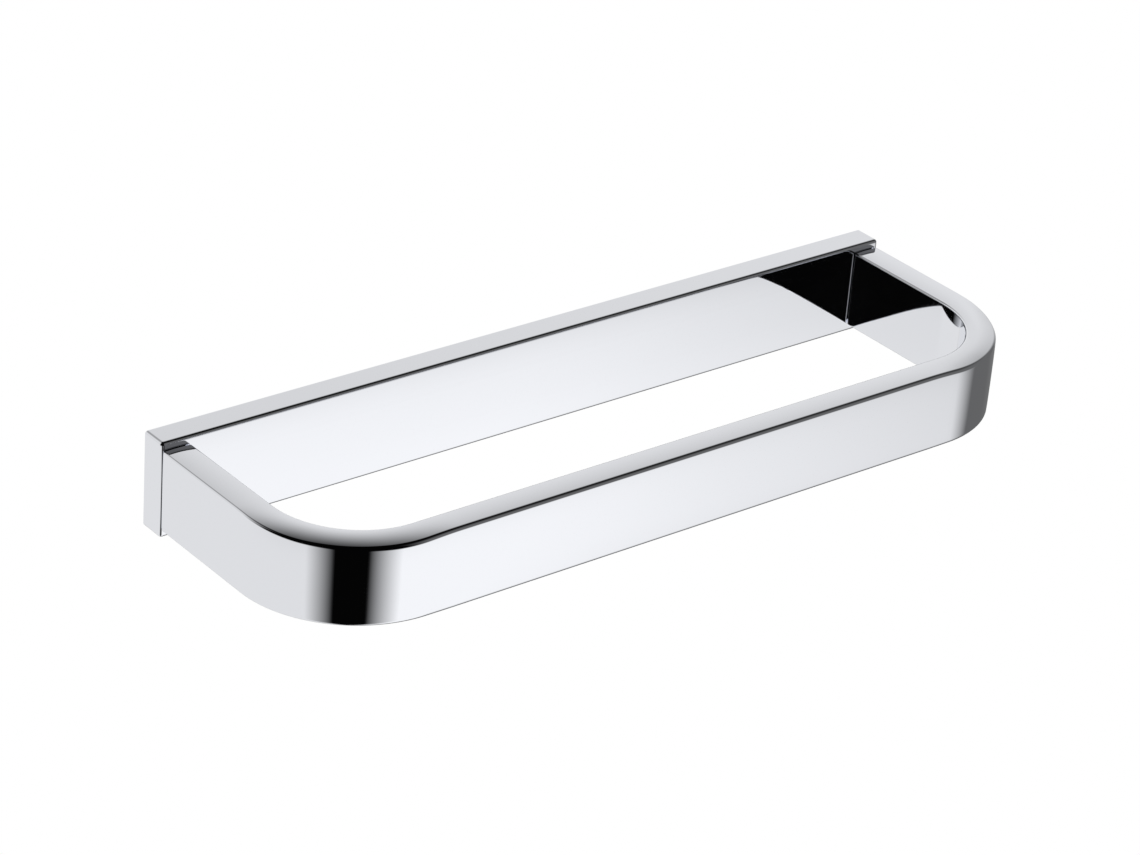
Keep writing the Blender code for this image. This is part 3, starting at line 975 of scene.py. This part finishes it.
# %% [markdown]
# ## The studio
#
# Polished metal has no look of its own, so a photographer builds the look around it. Here that is
# a pale table below, white in front, with a black card at the front left and a grey one on the
# right; walls that are pale behind, dark on the left and in front, and grey on the right; and a
# dark ceiling.
# In a scene, these could be real cards. A World shader is chosen here, because every reflection
# then depends on its direction alone, and a soft edge is simply a slope between two levels.
#
# It is kept plain: four levels, with the cards placed in round numbers so that the dark strip on
# the left bend and the dark inner corner fall about where the photograph has them.
#
# Directions are read in degrees. Azimuth 0 is in front of the fitting, 90 to its right and 180 in
# the wall behind it. Levels are what a display would show, from 0 for black to 100 for white.

# %% Helpers for the studio
DISPLAY_GAMMA = 2.2


def grey(level):
    """The linear colour of a display level from 0 to 100."""
    return ((level / 100) ** DISPLAY_GAMMA,) * 3 + (1,)


def math_node(tree, operation, first, second=None):
    """One Math node, whose inputs are sockets or numbers."""
    node = tree.nodes.new("ShaderNodeMath")
    node.operation = operation
    for socket, value in zip(node.inputs, (first, second)):
        if isinstance(value, bpy.types.NodeSocket):
            tree.links.new(value, socket)
        elif value is not None:
            socket.default_value = value
    return node.outputs["Value"]


def levels_round(tree, azimuth, stops):
    """Display levels from azimuth -180 to 180, with straight slopes between them."""
    reach = tree.nodes.new("ShaderNodeMapRange")
    reach.inputs["From Min"].default_value = -180
    reach.inputs["From Max"].default_value = 180
    tree.links.new(azimuth, reach.inputs["Value"])
    ramp = tree.nodes.new("ShaderNodeValToRGB")
    points = ramp.color_ramp.elements
    points[0].position = 0
    points[1].position = 1
    for place, _ in stops[1:-1]:
        points.new((place + 180) / 360)
    for point, (_, level) in zip(points, stops):
        point.color = grey(level)
    tree.links.new(reach.outputs["Result"], ramp.inputs["Fac"])
    return ramp.outputs["Color"]


def blend(tree, first, second, share):
    """Mix two levels by a share from 0 to 1."""
    node = tree.nodes.new("ShaderNodeMix")
    node.data_type = "RGBA"
    tree.links.new(share, node.inputs["Factor"])
    tree.links.new(first, node.inputs["A"])
    tree.links.new(second, node.inputs["B"])
    return node.outputs["Result"]


def rise(tree, angle, start, end):
    """A smooth step from 0 at one angle to 1 at another."""
    node = tree.nodes.new("ShaderNodeMapRange")
    node.interpolation_type = "SMOOTHSTEP"
    node.inputs["From Min"].default_value = start
    node.inputs["From Max"].default_value = end
    tree.links.new(angle, node.inputs["Value"])
    return node.outputs["Result"]


def white_to_camera(tree, shader, kind, surface):
    """Let the camera see plain white, and all other rays the shader."""
    white = tree.nodes.new(kind)
    white.inputs["Color"].default_value = (1, 1, 1, 1)
    camera_ray = tree.nodes.new("ShaderNodeLightPath").outputs["Is Camera Ray"]
    choose = tree.nodes.new("ShaderNodeMixShader")
    tree.links.new(camera_ray, choose.inputs["Fac"])
    tree.links.new(shader, choose.inputs[1])
    tree.links.new(white.outputs[0], choose.inputs[2])
    tree.links.new(choose.outputs["Shader"], surface)


# %% What stands around the fitting
WHITE = 100
PALE = 90
GREY = 40
DARK = 5
TABLE = ((-180, PALE), (-75, PALE), (-50, DARK), (-20, DARK), (10, WHITE), (40, WHITE), (70, GREY),
         (150, GREY), (180, PALE))
WALLS = ((-180, PALE), (-140, PALE), (-110, DARK), (10, DARK), (30, GREY), (100, GREY), (130, PALE),
         (180, PALE))
TABLE_EDGE = (-30, -10)
CEILING_EDGE = (20, 60)


def build_world():
    """A table, walls and a dark ceiling, seen by all rays but the camera's own."""
    world = bpy.data.worlds.new("studio")
    bpy.context.scene.world = world
    world.use_nodes = True
    tree = world.node_tree
    direction = tree.nodes.new("ShaderNodeTexCoord").outputs["Generated"]
    parts = tree.nodes.new("ShaderNodeSeparateXYZ")
    tree.links.new(direction, parts.inputs["Vector"])
    forward = math_node(tree, "MULTIPLY", parts.outputs["Y"], -1.0)
    azimuth = math_node(tree, "DEGREES", math_node(tree, "ARCTAN2", parts.outputs["X"], forward))
    elevation = math_node(tree, "DEGREES", math_node(tree, "ARCSINE", parts.outputs["Z"]))

    table = levels_round(tree, azimuth, TABLE)
    walls = levels_round(tree, azimuth, WALLS)
    ceiling = tree.nodes.new("ShaderNodeRGB").outputs["Color"]
    ceiling.default_value = grey(DARK)
    above = blend(tree, walls, ceiling, rise(tree, elevation, *CEILING_EDGE))
    studio = blend(tree, table, above, rise(tree, elevation, *TABLE_EDGE))
    shown = tree.nodes["Background"]
    tree.links.new(studio, shown.inputs["Color"])
    white_to_camera(tree, shown.outputs["Background"], "ShaderNodeBackground",
                    tree.nodes["World Output"].inputs["Surface"])


build_world()
print("studio: a table, two cards, walls and a ceiling")

# %% [markdown]
# ## The floor
#
# The fitting hangs on a wall, about a metre above a plain floor. The floor is white to the camera,
# as the photograph's ground is. The mirror faces look past it into the studio, so the floor isn't
# seen by glossy rays.

# %% A pale floor
FLOOR_HEIGHT = -0.9
FLOOR_HALF_SIZE = 4.0
FLOOR_COLOUR = (0.85, 0.85, 0.85, 1)
FLOOR_ROUGHNESS = 0.8


def pale_floor():
    """A large plane below the fitting, plain white to the camera."""
    material, tree, shader = new_material("pale_floor")
    shader.inputs["Base Color"].default_value = FLOOR_COLOUR
    shader.inputs["Roughness"].default_value = FLOOR_ROUGHNESS
    white_to_camera(tree, shader.outputs["BSDF"], "ShaderNodeEmission",
                    tree.nodes["Material Output"].inputs["Surface"])
    bm = bmesh.new()
    bmesh.ops.create_grid(bm, x_segments=1, y_segments=1, size=FLOOR_HALF_SIZE,
                          matrix=Matrix.Translation((0, 0, FLOOR_HEIGHT)))
    mesh = bpy.data.meshes.new("floor")
    bm.to_mesh(mesh)
    bm.free()
    mesh.materials.append(material)
    floor = placed("floor", mesh)
    floor.visible_glossy = False


pale_floor()
print("floor at", FLOOR_HEIGHT)

# %% Finish with the Standard view transform
bpy.context.scene.view_settings.view_transform = "Standard"
